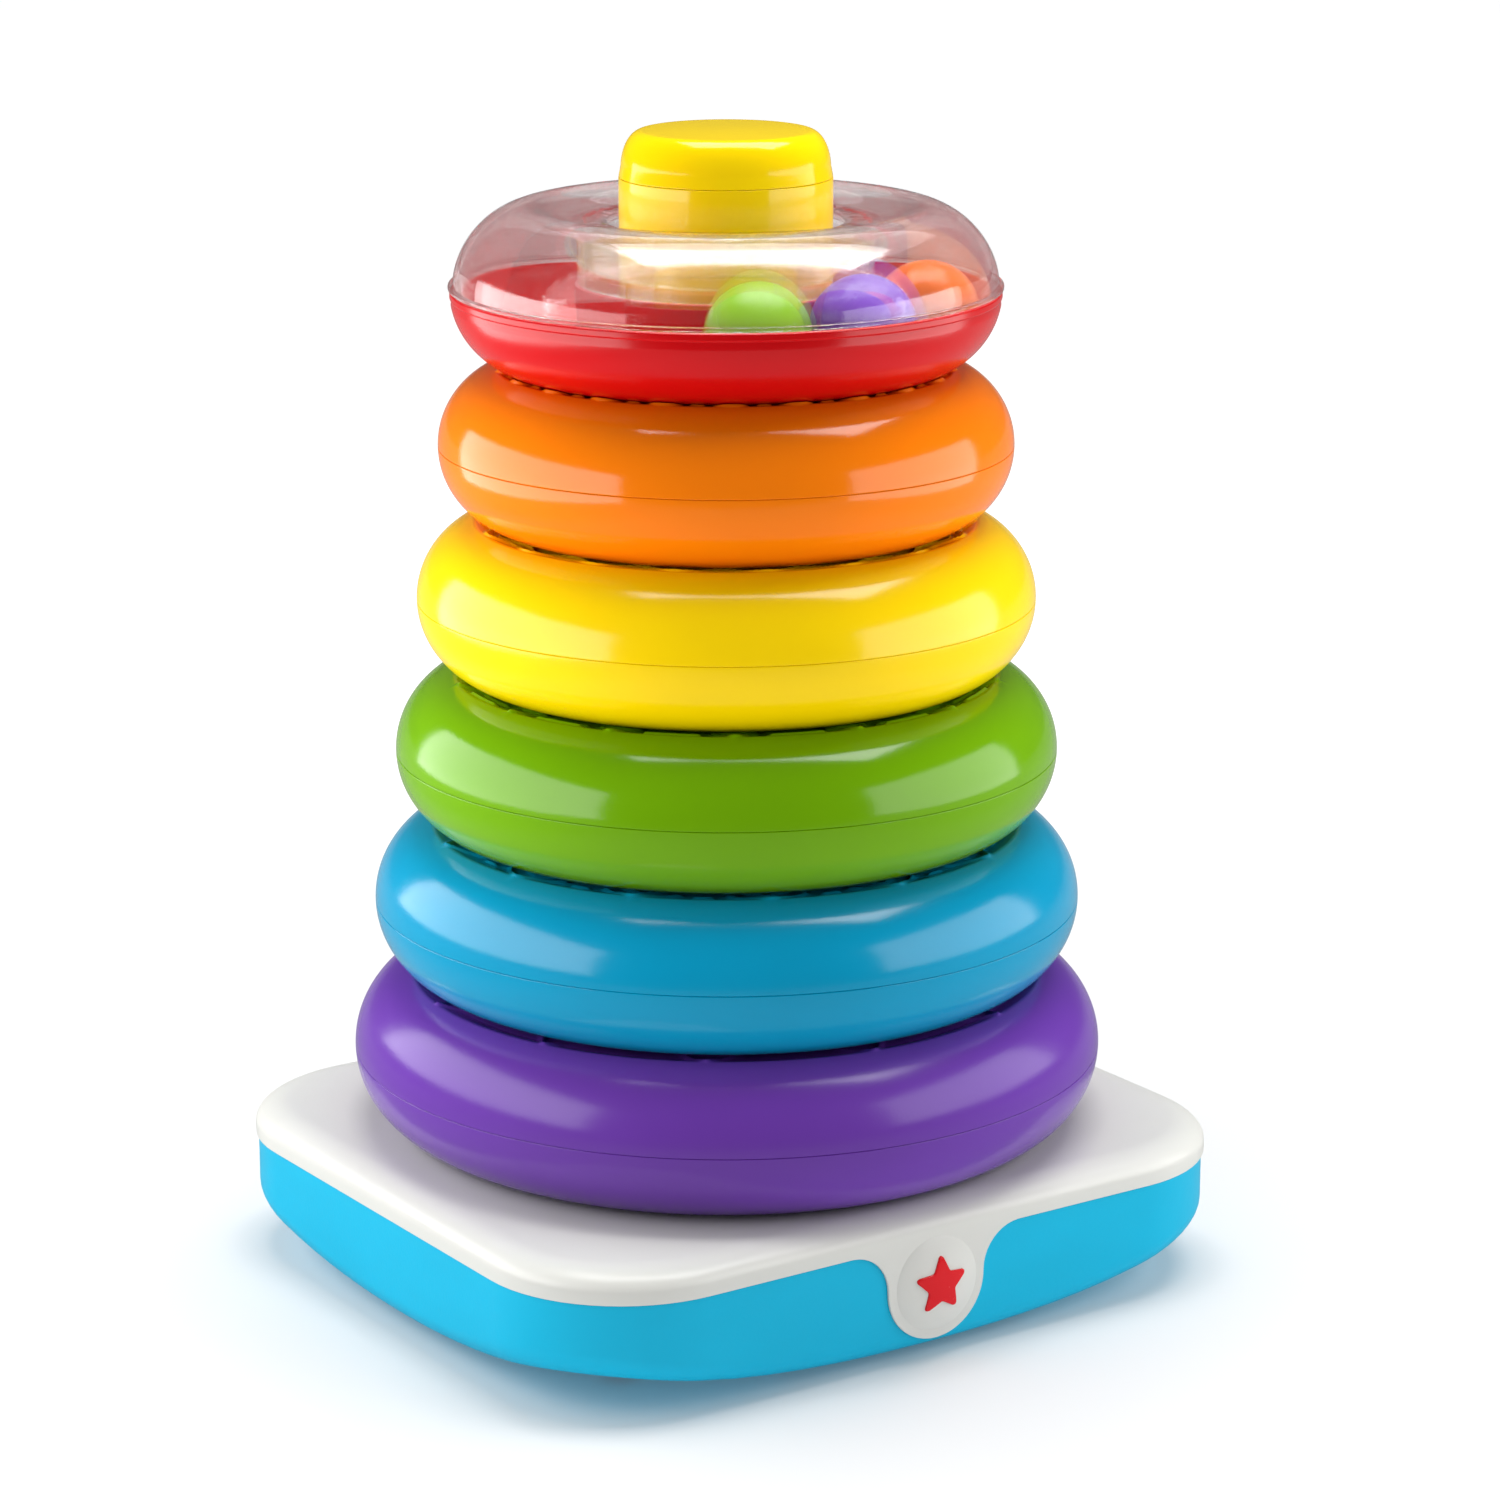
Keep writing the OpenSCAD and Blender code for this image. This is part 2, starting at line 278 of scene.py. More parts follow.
def make_relief(paths_of, repeats, low, high, above, ridge=RIDGE_HEIGHT, half=RIDGE_HALF):
    """Raised lines between radii low and high, on the faces higher than above."""
    mid_r = (low + high) / 2
    width = 2 * math.pi * mid_r / repeats
    paths = paths_of(width, low, high)

    def relief(radius, angle, height):
        cell = 2 * math.pi / repeats
        x = ((angle / cell) % 1.0 - 0.5) * width
        distance = np.full(radius.shape, 1e9)
        for path in paths:
            for shift in (-width, 0.0, width):
                moved = [(px + shift, py) for px, py in path]
                distance = np.minimum(distance, distance_to_path(x, radius, moved))
        rise = np.clip(1 - distance / half, 0, 1)
        rise = rise * rise * (3 - 2 * rise)
        inside = (radius > low) & (radius < high) & (height > above)
        return ridge * rise * inside

    return relief


# ---------------------------------------------------------------- materials


def srgb(r, g, b):
    """Linear colour from 0 to 255 screen values."""
    out = []
    for v in (r, g, b):
        v = v / 255
        out.append(v / 12.92 if v <= 0.04045 else ((v + 0.055) / 1.055) ** 2.4)
    return tuple(out)


def mix_color(tree, factor, a, b, blend="MIX"):
    node = tree.nodes.new("ShaderNodeMix")
    node.data_type = "RGBA"
    node.blend_type = blend
    tree.links.new(factor, node.inputs["Factor"])
    for socket, value in (("A", a), ("B", b)):
        target = [s for s in node.inputs if s.name == socket and s.type == "RGBA"][0]
        if isinstance(value, tuple):
            target.default_value = (*value, 1.0)
        else:
            tree.links.new(value, target)
    return [s for s in node.outputs if s.type == "RGBA"][0]


def noise(tree, coords, scale, detail=3.0, rough=0.5):
    node = tree.nodes.new("ShaderNodeTexNoise")
    node.inputs["Scale"].default_value = scale
    node.inputs["Detail"].default_value = detail
    node.inputs["Roughness"].default_value = rough
    tree.links.new(coords, node.inputs["Vector"])
    return node.outputs["Fac"]


def ramp(tree, value, low, high, out_low, out_high):
    node = tree.nodes.new("ShaderNodeMapRange")
    node.interpolation_type = "SMOOTHSTEP"
    tree.links.new(value, node.inputs["Value"])
    for socket, number in (("From Min", low), ("From Max", high), ("To Min", out_low), ("To Max", out_high)):
        node.inputs[socket].default_value = number
    return node.outputs["Result"]


def math_node(tree, kind, a, b):
    node = tree.nodes.new("ShaderNodeMath")
    node.operation = kind
    for socket, value in zip(node.inputs, (a, b)):
        if isinstance(value, (int, float)):
            socket.default_value = value
        else:
            tree.links.new(value, socket)
    return node.outputs[0]


def stretched(tree, coords, scale, turn):
    node = tree.nodes.new("ShaderNodeMapping")
    node.inputs["Scale"].default_value = scale
    node.inputs["Rotation"].default_value = turn
    tree.links.new(coords, node.inputs["Vector"])
    return node.outputs["Vector"]


def plastic(name, color, rough=0.2, grain=0.06, grain_scale=900.0, glow=0.1, shade=0.95, gloss=0.42):
    """Moulded glossy plastic: faint flow marks, fine grain, hairline scuffs and smudges."""
    material = bpy.data.materials.new(name)
    material.use_nodes = True
    tree = material.node_tree
    shader = tree.nodes["Principled BSDF"]
    coords = tree.nodes.new("ShaderNodeTexCoord").outputs["Object"]
    flow = noise(tree, stretched(tree, coords, (1, 1, 2.5), (0.3, 0.2, 0)), 14.0, 2.0)
    darker = tuple(c * shade for c in color)
    tint = mix_color(tree, ramp(tree, flow, 0.3, 0.7, 0.0, 1.0), darker, color)
    tree.links.new(tint, shader.inputs["Base Color"])
    smudge = noise(tree, coords, 38.0, 4.0, 0.6)
    scuff = noise(tree, stretched(tree, coords, (1, 22, 1), (0.4, 0.9, 0.6)), 420.0, 1.0)
    scuffs = ramp(tree, scuff, 0.66, 0.8, 0.0, 0.05)
    roughness = math_node(tree, "ADD", ramp(tree, smudge, 0.2, 0.8, rough * 0.92, rough * 1.1), scuffs)
    tree.links.new(roughness, shader.inputs["Roughness"])
    bump = tree.nodes.new("ShaderNodeBump")
    bump.inputs["Strength"].default_value = grain
    bump.inputs["Distance"].default_value = 0.0004
    peel = noise(tree, coords, 120.0, 1.0)
    fine = noise(tree, coords, grain_scale, 2.0)
    tree.links.new(math_node(tree, "ADD", fine, peel), bump.inputs["Height"])
    tree.links.new(bump.outputs["Normal"], shader.inputs["Normal"])
    shader.inputs["IOR"].default_value = 1.47
    shader.inputs["Specular IOR Level"].default_value = gloss
    if glow > 0:
        shader.inputs["Subsurface Weight"].default_value = glow
        shader.inputs["Subsurface Radius"].default_value = (1.0, 1.0, 1.0)
        shader.inputs["Subsurface Scale"].default_value = 0.004
    return material


# Share of the light that the clear plastic lets through unbent
CLEAR_SHARE = 0.3


def clear_plastic(name):
    """Clear moulded plastic, faintly smudged, that lets shadow and diffuse rays straight through."""
    material = bpy.data.materials.new(name)
    material.use_nodes = True
    tree = material.node_tree
    shader = tree.nodes["Principled BSDF"]
    coords = tree.nodes.new("ShaderNodeTexCoord").outputs["Object"]
    shader.inputs["Base Color"].default_value = (0.99, 0.99, 0.985, 1.0)
    shader.inputs["Transmission Weight"].default_value = 1.0
    shader.inputs["IOR"].default_value = 1.49
    smudge = noise(tree, coords, 30.0, 3.0)
    tree.links.new(ramp(tree, smudge, 0.5, 0.8, 0.01, 0.05), shader.inputs["Roughness"])
    bump = tree.nodes.new("ShaderNodeBump")
    bump.inputs["Strength"].default_value = 0.03
    bump.inputs["Distance"].default_value = 0.0004
    tree.links.new(noise(tree, coords, 90.0, 1.0), bump.inputs["Height"])
    tree.links.new(bump.outputs["Normal"], shader.inputs["Normal"])
    path = tree.nodes.new("ShaderNodeLightPath")
    soft = math_node(tree, "MAXIMUM", path.outputs["Is Shadow Ray"], path.outputs["Is Diffuse Ray"])
    soft = math_node(tree, "MAXIMUM", soft, CLEAR_SHARE)
    passing = tree.nodes.new("ShaderNodeBsdfTransparent")
    both = tree.nodes.new("ShaderNodeMixShader")
    tree.links.new(soft, both.inputs["Fac"])
    tree.links.new(shader.outputs["BSDF"], both.inputs[1])
    tree.links.new(passing.outputs["BSDF"], both.inputs[2])
    tree.links.new(both.outputs["Shader"], tree.nodes["Material Output"].inputs["Surface"])
    return material


def steel(name):
    """Zinc-plated screw steel, patchy in colour and gloss."""
    material = bpy.data.materials.new(name)
    material.use_nodes = True
    tree = material.node_tree
    shader = tree.nodes["Principled BSDF"]
    coords = tree.nodes.new("ShaderNodeTexCoord").outputs["Object"]
    patches = noise(tree, coords, 400.0, 3.0)
    tree.links.new(
        mix_color(tree, patches, (0.45, 0.45, 0.47), (0.66, 0.66, 0.68)), shader.inputs["Base Color"]
    )
    tree.links.new(ramp(tree, patches, 0.3, 0.7, 0.25, 0.45), shader.inputs["Roughness"])
    shader.inputs["Metallic"].default_value = 1.0
    return material


MATERIALS = {
    "cyan_plastic": plastic("cyan_plastic", srgb(0, 176, 214), 0.34, 0.1, gloss=0.2),
    "white_plastic": plastic("white_plastic", srgb(209, 209, 204), 0.3, 0.08, shade=0.985),
    "badge_red": plastic("badge_red", srgb(214, 10, 24), 0.22),
    "post_yellow": plastic("post_yellow", srgb(253, 216, 0), 0.12),
    "purple_plastic": plastic("purple_plastic", srgb(101, 54, 158), 0.21),
    "blue_plastic": plastic("blue_plastic", srgb(0, 144, 184), 0.16),
    "green_plastic": plastic("green_plastic", srgb(106, 160, 0), 0.13),
    "yellow_plastic": plastic("yellow_plastic", srgb(247, 208, 0), 0.15),
    "orange_plastic": plastic("orange_plastic", srgb(241, 122, 4), 0.12),
    "red_plastic": plastic("red_plastic", srgb(196, 0, 8), 0.2),
    "ball_green": plastic("ball_green", srgb(128, 178, 0), 0.2),
    "ball_purple": plastic("ball_purple", srgb(120, 60, 190), 0.2),
    "ball_orange": plastic("ball_orange", srgb(246, 112, 4), 0.2),
    "clear_plastic": clear_plastic("clear_plastic"),
    "screw_steel": steel("screw_steel"),
}


def dress(piece, body, slot, *nodes):
    """Gives a new piece its material and its body, and hides the CAD nodes it stands for."""
    piece.data.materials.clear()
    piece.data.materials.append(MATERIALS[slot])
    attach(piece, body)
    if nodes:
        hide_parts(*nodes)
    return piece


# ---------------------------------------------------------------- rings

BULGE_R = 26.4
HOLE_R = 38.0
RING_WALL = 2.4
SEAT_R = 47.0
SEAT_STEP = 0.8
SEAT_DROP = 1.1
LIP_W = 5.8
SEAM_ROUND = 0.35
SEAM_GAP = 0.02
# Longest step across a face that carries embossed lines
RELIEF_STEP = 0.75


def node_size(node):
    """Outer radius, lowest and highest point of a round CAD node, in mm."""
    low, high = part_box(node)
    return high.x / MM, low.z / MM, high.z / MM


def upper_outline(radius, hole, crest, seat):
    """The upper shell's outline from the parting line up, over the dish and down the hole."""
    mid = radius - BULGE_R
    lip_angle = math.degrees(math.asin(crest / BULGE_R))
    lip_r = mid + BULGE_R * math.cos(math.radians(lip_angle))
    floor = seat - SEAT_STEP
    foot_r = lip_r - LIP_W
    seam = arc(radius - SEAM_ROUND, SEAM_GAP + SEAM_ROUND, SEAM_ROUND, -90, 0, 4)
    outer = arc(mid, 0, BULGE_R, 4, lip_angle - 6, 26)
    lip = rounded([outer[-1], (lip_r, crest, 3.0), (foot_r, floor)], 8)[1:-1]
    dish = rounded([lip[-1], (foot_r, floor, 6.0), (SEAT_R + 1, floor)], 6)[1:-1]
    fine_lip = split_line(lip[-1], dish[0], RELIEF_STEP)
    flat = split_line(dish[-1], (SEAT_R + 1.6, floor), RELIEF_STEP)
    seat_edge = rounded(
        [flat[-1], (SEAT_R + 1, floor, 0.4), (SEAT_R, seat, 0.4), (hole + 4, seat)], 3
    )[1:-1]
    bore = rounded([(SEAT_R - 2, seat), (hole, seat, 3.0), (hole, SEAM_GAP + 1)], 6)[1:]
    inner_wall = [
        (hole, SEAM_GAP),
        (hole + RING_WALL, SEAM_GAP),
        (hole + RING_WALL, seat - RING_WALL),
        (SEAT_R, seat - RING_WALL),
        (SEAT_R + 1, floor - RING_WALL),
        (foot_r, floor - RING_WALL),
        (lip_r - 1, crest - RING_WALL - 0.6),
    ]
    inner_bulge = arc(mid, 0, BULGE_R - RING_WALL, lip_angle - 8, 3, 10)
    close = [(radius - RING_WALL, SEAM_GAP)]
    return seam + outer + lip + fine_lip + dish + flat + seat_edge + bore + inner_wall + inner_bulge + close


def lower_outline(radius, hole, drop):
    """The lower shell's outline from the parting line down, under and up the hole."""
    mid = radius - BULGE_R
    foot_angle = -math.degrees(math.asin(drop / BULGE_R))
    seam = arc(radius - SEAM_ROUND, -SEAM_GAP - SEAM_ROUND, SEAM_ROUND, 90, 0, 4)
    outer = arc(mid, 0, BULGE_R, -4, foot_angle + 3, 26)
    foot_r = mid + BULGE_R * math.cos(math.radians(foot_angle))
    under = rounded([outer[-1], (foot_r, -drop, 3.0), (hole, -drop, 3.0), (hole, -SEAM_GAP - 1)], 6)[1:]
    inner_wall = [
        (hole, -SEAM_GAP),
        (hole + RING_WALL, -SEAM_GAP),
        (hole + RING_WALL, -drop + RING_WALL),
        (mid, -drop + RING_WALL),
    ]
    inner_bulge = arc(mid, 0, BULGE_R - RING_WALL, -74, -3, 10)
    close = [(radius - RING_WALL, -SEAM_GAP)]
    return seam + outer + under + inner_wall + inner_bulge + close


def make_ring(name):
    """Both shells of one ring, with its own embossed lines round the dished top."""
    upper, lower = f"ring_{name}_upper", f"ring_{name}_lower"
    radius, seam_z, top_z = node_size(upper)
    _, bottom_z, _ = node_size(lower)
    crest = top_z - seam_z
    drop = seam_z - bottom_z
    seat = crest - SEAT_DROP
    paths, repeats = PATTERNS[name]
    relief = make_relief(paths, repeats, SEAT_R + 2, radius - 17.5, crest - 2.8)
    slot = f"{name}_plastic"
    body = f"{name}_ring"
    outline = upper_outline(radius, HOLE_R, crest, seat)
    top = revolve(f"{name}_upper_shell", outline, seam_z, RELIEF_TURNS, True, relief)
    bottom = revolve(f"{name}_lower_shell", lower_outline(radius, HOLE_R, drop), seam_z)
    dress(top, body, slot, upper)
    dress(bottom, body, slot, lower)


for ring in RINGS:
    make_ring(ring)


# ---------------------------------------------------------------- rattle ring

HUB_R = 48.5
HUB_WALL = 2.5
HUB_H = 2.0
BOWL_WALL = 2.6
DOME_WALL = 2.4
# The dome's section, measured from its flange: the side, the crest and the ledge round the post
DOME_INSET = 1.6
DOME_SIDE_H = 2.0
DOME_CREST_R = 64.0
DOME_POWER = 1.11
DOME_STEPS = 28
SLOPE_STEPS = 12
LEDGE_R = 47.6
LEDGE_H = 22.0
FLANGE_H = 1.8


def make_bowl():
    """The red bowl: a channel for the balls between the outer wall and the hub."""
    radius, bottom_z, top_z = node_size("rattle_bowl")
    rim_z = top_z - HUB_H
    drop = rim_z - bottom_z
    mid = radius - BULGE_R
    foot_angle = -math.degrees(math.asin(drop / BULGE_R))
    foot_r = mid + BULGE_R * math.cos(math.radians(foot_angle))
    rim = rounded([(radius - BOWL_WALL, 0, 0.4), (radius, 0, 0.7), (radius, -3.0)], 4)[:-1]
    lip = rounded(
        [(radius, -1.0), (radius, -2.2, 0.4), (radius - 0.5, -2.6, 0.4), (radius - 0.7, -4)], 3)[1:-1]
    outer = arc(mid, 0, BULGE_R, -10, foot_angle + 3, 26)
    under = rounded(
        [outer[-1], (foot_r, -drop, 3.0), (HOLE_R, -drop, 1.2), (HOLE_R, -drop + BOWL_WALL, 1.0),
         (HUB_R - HUB_WALL, -drop + BOWL_WALL, 0.8), (HUB_R - HUB_WALL, HUB_H, 0.4), (HUB_R, HUB_H, 0.4),
         (HUB_R, -drop + 8)], 5)[1:]
    channel = arc(mid, 0, BULGE_R - BOWL_WALL, -126, -2, 30)
    channel = [p for p in channel if p[0] > HUB_R + 0.5]
    outline = rim + lip + outer + under + channel
    bowl = revolve("rattle_bowl_shell", outline, rim_z)
    dress(bowl, "rattle_ring", "red_plastic", "rattle_bowl")


def paths_ledge(width, low, high):
    mid = (low + high) / 2
    return [triangle(-width / 4, mid, 5.5), triangle(width / 4, mid, 5.5, -1)]


def make_dome():
    """The clear dome, with its flange, the slope down to the ledge and the tube inside."""
    radius, rim_z, high_z = node_size("rattle_dome")
    side_r = radius - DOME_INSET
    crest_h = high_z - rim_z

    def curve(inset, a):
        return (
            DOME_CREST_R + (side_r - DOME_CREST_R - inset) * max(math.cos(a), 0) ** DOME_POWER,
            DOME_SIDE_H + (crest_h - DOME_SIDE_H - inset) * math.sin(a) ** DOME_POWER,
        )

    def slope(inset, t):
        ease = t * t * (3 - 2 * t)
        x = DOME_CREST_R + (LEDGE_R + 0.8 - DOME_CREST_R) * t
        return (x, crest_h - inset - (crest_h - LEDGE_H) * ease)

    turns = [math.radians(90 * k / DOME_STEPS) for k in range(DOME_STEPS + 1)]
    outer = [curve(0, a) for a in turns]
    dish = [slope(0, k / SLOPE_STEPS) for k in range(1, SLOPE_STEPS)]
    flange = rounded(
        [(radius, 0, 0.3), (radius, FLANGE_H, 0.5), (side_r, FLANGE_H, 0.3), (side_r, DOME_SIDE_H)], 4)[:-1]
    ledge = [(LEDGE_R - 0.5 - 0.4 * k, LEDGE_H) for k in range(22)]
    tube_r = LEDGE_R - DOME_WALL
    roof = LEDGE_H - DOME_WALL
    foot = HUB_H + 0.1
    hole = rounded(
        [(HOLE_R + 1.5, LEDGE_H), (HOLE_R, LEDGE_H, 0.8), (HOLE_R, roof, 0.8), (tube_r, roof, 0.8),
         (tube_r, foot, 0.4), (LEDGE_R, foot, 0.4), (LEDGE_R, roof, 0.8)], 4)[1:]
    under = [slope(DOME_WALL, k / SLOPE_STEPS) for k in range(SLOPE_STEPS - 1, 0, -1)]
    inside = [curve(DOME_WALL, a) for a in reversed(turns)]
    close = [(side_r - DOME_WALL, 0.05)]
    relief = make_relief(paths_ledge, 16, HOLE_R + 0.8, LEDGE_R - 0.2, LEDGE_H - 0.1, 0.45, 0.8)
    outline = flange + outer + dish + ledge + hole + under + inside + close
    dome = revolve("rattle_clear_dome", outline, rim_z, RELIEF_TURNS, True, relief)
    dress(dome, "rattle_ring", "clear_plastic", "rattle_dome")


def make_ball(color, tilt):
    """A ball moulded in two halves, with a hairline weld round it."""
    node = f"ball_{color}"
    low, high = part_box(node)
    centre = (low + high) / 2
    radius = (high.z - low.z) / 2 / MM
    half = [
        (radius * math.cos(math.radians(a)), radius * math.sin(math.radians(a)))
        for a in [90 - 3 * k for k in range(30)]
    ]
    weld = [(radius - 0.02, 0.35), (radius - 0.16, 0.0), (radius - 0.02, -0.35)]
    outline = half[:-1] + weld + [(x, -z) for x, z in reversed(half[:-1])]
    outline[0] = (0.0, radius)
    outline[-1] = (0.0, -radius)
    ball = revolve(f"{color}_rattle_ball", outline, 0.0, 96, False)
    ball.data.transform(Matrix.Translation(centre) @ Euler(tilt).to_matrix().to_4x4())
    dress(ball, f"{color}_ball", node, node)


make_bowl()
make_dome()
make_ball("green", (0.9, 0.3, 0.1))
make_ball("purple", (1.9, 0.5, 0.6))
make_ball("orange", (0.4, 1.2, 0.9))


# ---------------------------------------------------------------- post

POST_WALL = 2.6
POST_FLANGE_H = 3.0
# The cap: how much its side leans in, its rounded edge, and how far the top face is crowned
CAP_DRAFT = 0.7
CAP_EDGE_W = 7.0
CAP_EDGE_H = 12.0
CAP_CROWN = 0.4


def make_post():
    """The post's tube on its flange. Returns its outer radius, which the cap shares."""
    flange_r, low_z, high_z = node_size("post_tube")
    radius = node_size("post_cap")[0]
    inner = radius - POST_WALL
    length = high_z - low_z
    end = length - 0.03
    outline = rounded(
        [(inner, 0), (flange_r, 0, 0.5), (flange_r, POST_FLANGE_H, 0.5), (radius, POST_FLANGE_H, 1.0),
         (radius, 60), (radius, 160), (radius, 260), (radius, end, 0.3), (inner, end)], 4)
    post = revolve("post_tube_shell", outline, low_z)
    dress(post, "base", "post_yellow", "post_tube")
    return radius


def make_cap(radius):
    """The post's cap: a slightly leaning side, a rounded edge and a crowned top face."""
    _, low_z, high_z = node_size("post_cap")
    split = node_size("post_tube")[2]
    top = high_z - split
    inner = radius - POST_WALL
    edge_foot = top - CAP_CROWN - CAP_EDGE_H
    side = rounded([(radius - 3, 0.05), (radius, 0.05, 0.3), (radius - CAP_DRAFT, edge_foot)], 4)[1:-1]
    shoulder = [
        (radius - CAP_DRAFT - CAP_EDGE_W * (1 - math.cos(a)), edge_foot + CAP_EDGE_H * math.sin(a))
        for a in [math.radians(4 + 82 * k / 16) for k in range(17)]
    ]
    edge_r, edge_z = shoulder[-1]
    face = [
        (edge_r * (1 - k / 10), edge_z + (top - edge_z) * math.sin(math.pi / 2 * k / 10))
        for k in range(1, 10)
    ]
    spigot_r = inner - 0.1
    bore_r = inner - 2.4
    under = [(0.0, top - 2.6), (inner - 8, top - 3.2), (bore_r, top - 11), (bore_r, low_z - split),
             (spigot_r, low_z - split), (spigot_r, 0.05)]
    outline = [(0.0, top)] + face[::-1] + shoulder[::-1] + side[::-1] + under[::-1]
    cap = revolve("post_cap_shell", outline, split, TURNS, False)
    dress(cap, "base", "post_yellow", "post_cap")


make_cap(make_post())


# ---------------------------------------------------------------- base

CORNER_R = 49.0
BASE_WALL = 3.0
BASE_SPLIT_Z = 40.0
BAND_W = 12.0
WALL_H = 3.5
OUTLINE_STEPS = 16
# The bowed bottom: its flat disc, and how far it rises how far out
REST_R = 40.0
BOW_R = 160.0
BOW_RISE = 18.0
BOW_POWER = 3.5
BOTTOM_ROUND = 6.0
# How far the blue shell stands back from the white one, and the rounding of its upper edge
BLUE_INSET = 0.9
EDGE_ROUND = 0.5
# Screw bosses and their holes
SCREW_PLACES = [(sx * 92, sy * 76) for sx in (-1, 1) for sy in (-1, 1)]
SCREW_BOSS_R = 6.0
SCREW_BOSS_Z = 21.0
SCREW_HEAD_R = 4.4
SCREW_HEAD_Z = 17.0
SCREW_SHANK_R = 2.3
PEDESTAL_R = 31.5
PEDESTAL_Z = 66.0
# The tab over the blue side, the round boss on it and the star on the boss
TAB_R = 18.7
TAB_Z = 25.5
TAB_FILLET = 14.0
TAB_T = BLUE_INSET - 0.1
TAB_BEVEL = 0.35
BOSS_R = 15.8
BOSS_RISE = 3.0
STAR_OUTER_R = 10.5
STAR_INNER_R = 5.0
STAR_RISE = 0.6
STAR_TURNS = 240


def rect_outline(half_x, half_y, corner, straight=14):
    """Points round a rounded rectangle, the same count whatever its size."""
    points = []
    for k, (sx, sy) in enumerate([(1, 1), (-1, 1), (-1, -1), (1, -1)]):
        cx, cy = sx * (half_x - corner), sy * (half_y - corner)
        turn = arc(cx, cy, corner, 90 * k, 90 * k + 90, OUTLINE_STEPS)
        points += turn
        nx, ny = [(-1, 1), (-1, -1), (1, -1), (1, 1)][k]
        ncx, ncy = nx * (half_x - corner), ny * (half_y - corner)
        nxt = arc(ncx, ncy, corner, 90 * k + 90, 90 * k + 91, 1)[0]
        points += [
            tuple(Vector(turn[-1]).lerp(Vector(nxt), i / straight)) for i in range(1, straight)
        ]
    return points


def circle_outline(radius, like):
    """Points on a circle, each in the direction of the same point of another outline."""
    return [tuple(Vector(p).normalized() * radius) for p in like]


def blend_outline(a, b, t):
    return [tuple(Vector(p).lerp(Vector(q), t)) for p, q in zip(a, b)]


def bow_z(x, y):
    return BOW_RISE * (max(math.hypot(x, y) - REST_R, 0) / (BOW_R - REST_R)) ** BOW_POWER


def boolean(piece, other, operation):
    """Joins the other piece on, or cuts it out, and deletes it."""
    modifier = piece.modifiers.new("cut", "BOOLEAN")
    modifier.operation = operation
    modifier.solver = "EXACT"
    modifier.object = other
    bpy.context.view_layer.update()
    evaluated = piece.evaluated_get(bpy.context.evaluated_depsgraph_get())
    mesh = bpy.data.meshes.new_from_object(evaluated)
    piece.modifiers.remove(modifier)
    piece.data = mesh
    bpy.data.objects.remove(other)


def rod(x, y, low, high, radius, sides=48):
    """An upright cylinder that stands in as a tool for the booleans."""
    outline = [(0.0, high), (radius, high), (radius, low), (0.0, low)]
    piece = revolve("tool", outline, 0.0, sides, False)
    piece.modifiers.clear()
    piece.data.transform(Matrix.Translation((x * MM, y * MM, 0)))
    return piece


def resmooth(piece, smooth_angle=SMOOTH_ANGLE):
    """Marks sharp edges again after a boolean."""
    soften(piece.data, 2e-6, smooth_angle)
    weight_normals(piece)


